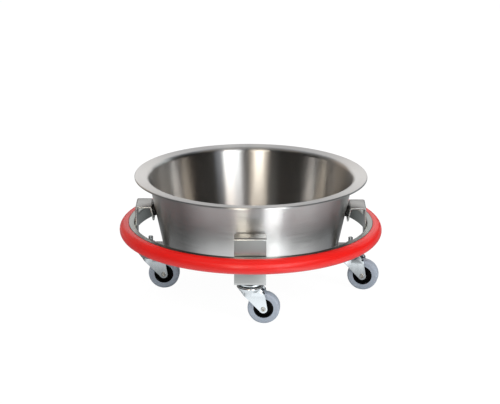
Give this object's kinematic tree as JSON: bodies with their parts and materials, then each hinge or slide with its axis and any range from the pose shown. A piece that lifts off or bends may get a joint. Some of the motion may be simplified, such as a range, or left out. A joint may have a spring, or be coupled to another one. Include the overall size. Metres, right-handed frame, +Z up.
{
  "type": "surgical kick bucket",
  "caption": "Shallow stainless bowl with a wide rim, held by hooked straps inside a ring frame with a rubber bumper, rolling on swivel casters.",
  "frame": {"origin": "on the floor under the centre of the bowl", "axes": "+Z up, -Y the front, +X to the right"},
  "size_m": [0.4311, 0.4312, 0.1948],
  "materials": {
    "bucket_steel": "spun and brushed round the axis",
    "frame_steel": "satin",
    "bumper_rubber": "smooth, semi-gloss",
    "pad_rubber": "matt",
    "zinc_steel": "bright zinc plate",
    "rivet_steel": "bright, dimpled ends",
    "ball_steel": "polished",
    "hub_plastic": "moulded",
    "tyre_rubber": "smooth, matt",
    "weld_steel": "as welded, ground"
  },
  "bodies": {
    "frame": {"ring_channel": "frame_steel", "bumper": "bumper_rubber", "stem_nuts": "zinc_steel", "stem_washers": "zinc_steel", "strap_front": "frame_steel", "welds_front": "weld_steel", "pad_front": "pad_rubber", "stem_front": "zinc_steel", "race_cup_front": "zinc_steel", "race_balls_front": "ball_steel", "race_plate_front": "zinc_steel", "strap_right": "frame_steel", "welds_right": "weld_steel", "pad_right": "pad_rubber", "stem_right": "zinc_steel", "race_cup_right": "zinc_steel", "race_balls_right": "ball_steel", "race_plate_right": "zinc_steel", "strap_back": "frame_steel", "welds_back": "weld_steel", "pad_back": "pad_rubber", "stem_back": "zinc_steel", "race_cup_back": "zinc_steel", "race_balls_back": "ball_steel", "race_plate_back": "zinc_steel", "strap_left": "frame_steel", "welds_left": "weld_steel", "pad_left": "pad_rubber", "stem_left": "zinc_steel", "race_cup_left": "zinc_steel", "race_balls_left": "ball_steel", "race_plate_left": "zinc_steel"},
    "bucket": {"bucket": "bucket_steel"},
    "swivel_front": {"fork_front": "zinc_steel", "axle_front": "rivet_steel", "bush_front": "zinc_steel"},
    "wheel_front": {"hub_front": "hub_plastic", "tyre_front": "tyre_rubber"},
    "swivel_right": {"fork_right": "zinc_steel", "axle_right": "rivet_steel", "bush_right": "zinc_steel"},
    "wheel_right": {"hub_right": "hub_plastic", "tyre_right": "tyre_rubber"},
    "swivel_back": {"fork_back": "zinc_steel", "axle_back": "rivet_steel", "bush_back": "zinc_steel"},
    "wheel_back": {"hub_back": "hub_plastic", "tyre_back": "tyre_rubber"},
    "swivel_left": {"fork_left": "zinc_steel", "axle_left": "rivet_steel", "bush_left": "zinc_steel"},
    "wheel_left": {"hub_left": "hub_plastic", "tyre_left": "tyre_rubber"}
  },
  "joints": [
    {"name": "bucket_lift", "type": "slide", "parent": "frame", "child": "bucket", "axis": [0, 0, 1], "range_m": [0, 0.12]},
    {"name": "swivel_front_turn", "type": "hinge", "parent": "frame", "child": "swivel_front", "pos_m": [0, -0.1649, 0.0616], "axis": [0, 0, 1], "continuous": true},
    {"name": "wheel_front_roll", "type": "hinge", "parent": "swivel_front", "child": "wheel_front", "pos_m": [0.02192, -0.16682, 0.0254], "axis": [-0.0872, -0.9962, 0], "continuous": true},
    {"name": "swivel_right_turn", "type": "hinge", "parent": "frame", "child": "swivel_right", "pos_m": [0.1649, 0, 0.0616], "axis": [0, 0, 1], "continuous": true},
    {"name": "wheel_right_roll", "type": "hinge", "parent": "swivel_right", "child": "wheel_right", "pos_m": [0.1865, -0.0042, 0.0254], "axis": [-0.1908, -0.9816, 0], "continuous": true},
    {"name": "swivel_back_turn", "type": "hinge", "parent": "frame", "child": "swivel_back", "pos_m": [0, 0.1649, 0.0616], "axis": [0, 0, 1], "continuous": true},
    {"name": "wheel_back_roll", "type": "hinge", "parent": "swivel_back", "child": "wheel_back", "pos_m": [0.02195, 0.16643, 0.0254], "axis": [0.0698, -0.9976, 0], "continuous": true},
    {"name": "swivel_left_turn", "type": "hinge", "parent": "frame", "child": "swivel_left", "pos_m": [-0.1649, 0, 0.0616], "axis": [0, 0, 1], "continuous": true},
    {"name": "wheel_left_roll", "type": "hinge", "parent": "swivel_left", "child": "wheel_left", "pos_m": [-0.14293, -0.00115, 0.0254], "axis": [-0.0523, -0.9986, 0], "continuous": true}
  ]
}
